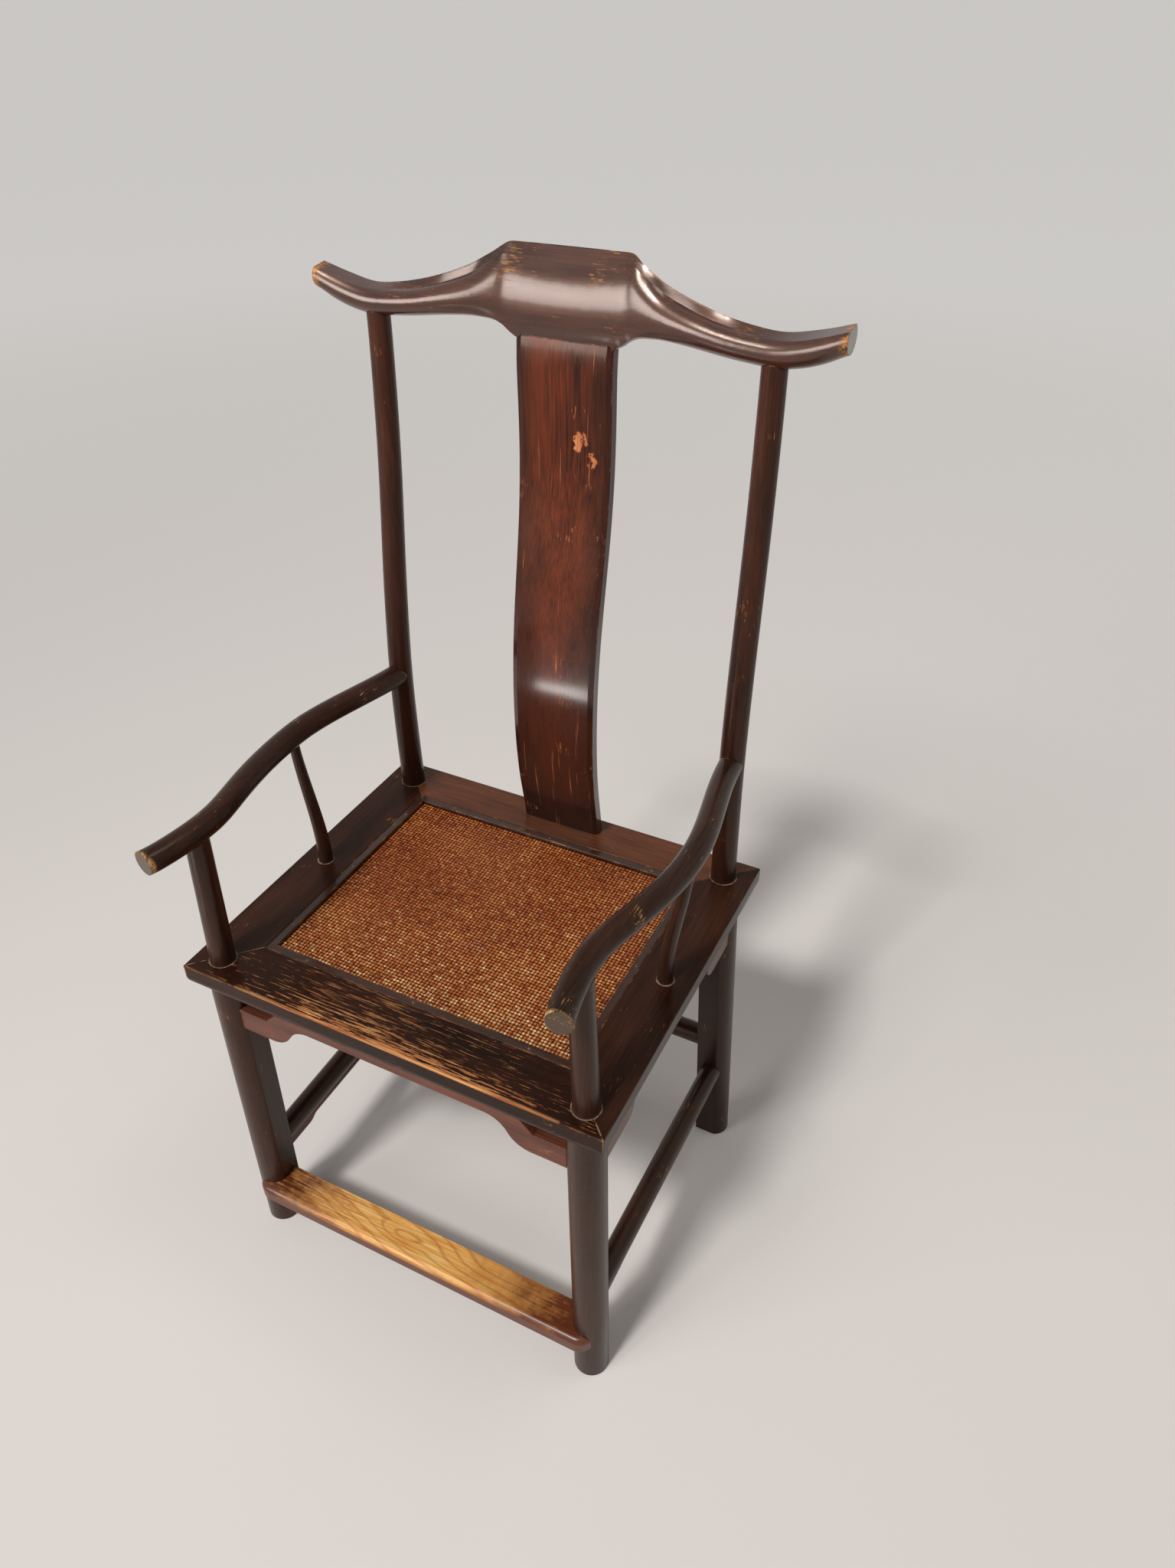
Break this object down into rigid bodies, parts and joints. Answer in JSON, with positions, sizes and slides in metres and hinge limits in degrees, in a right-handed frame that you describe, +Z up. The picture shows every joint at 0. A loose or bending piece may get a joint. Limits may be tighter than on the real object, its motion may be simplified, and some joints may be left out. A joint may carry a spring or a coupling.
{
  "type": "official's hat chair",
  "caption": "High-back yoke armchair with protruding crest rail and arm ends, S-curved splat, woven seat, bracketed aprons and a footrest.",
  "frame": {"origin": "on the floor, in the middle of the chair's footprint (bottom centre of its bounding box)", "axes": "+Z up, the chair faces -Y, +X to the right as seen from in front; the middle plane is X = 0"},
  "size_m": [0.612, 0.5228, 1.223],
  "materials": {
    "dark_lacquer": "old dark lacquer, rubbed satin, worn to gold-brown wood along the edges",
    "red_brown_lacquer": "thin red-brown lacquer, satin",
    "worn_footrest": "lacquer worn through to amber wood, smooth",
    "woven_mat": "fine woven cane matting, matt",
    "bare_wood": "unlacquered wood, matt"
  },
  "bodies": {
    "root": {"crest_rail": "dark_lacquer", "splat": "red_brown_lacquer", "front_leg_left": "dark_lacquer", "front_leg_right": "dark_lacquer", "rear_leg_left": "dark_lacquer", "rear_leg_right": "dark_lacquer", "arm_left": "dark_lacquer", "arm_right": "dark_lacquer", "side_post_left": "dark_lacquer", "side_post_right": "dark_lacquer", "front_rail": "dark_lacquer", "back_rail": "dark_lacquer", "side_rail_left": "dark_lacquer", "side_rail_right": "dark_lacquer", "seat_strip_front": "dark_lacquer", "seat_strip_back": "dark_lacquer", "seat_strip_left": "dark_lacquer", "seat_strip_right": "dark_lacquer", "seat_mat": "woven_mat", "front_apron": "red_brown_lacquer", "back_apron": "red_brown_lacquer", "side_apron_left": "red_brown_lacquer", "side_apron_right": "red_brown_lacquer", "footrest": "worn_footrest", "footrest_apron": "red_brown_lacquer", "side_stretcher_left": "dark_lacquer", "side_stretcher_right": "dark_lacquer", "side_stretcher_apron_left": "red_brown_lacquer", "side_stretcher_apron_right": "red_brown_lacquer", "rear_stretcher": "dark_lacquer", "seat_brace_left": "bare_wood", "seat_brace_right": "bare_wood", "strip_pegs": "bare_wood"}
  },
  "joints": []
}
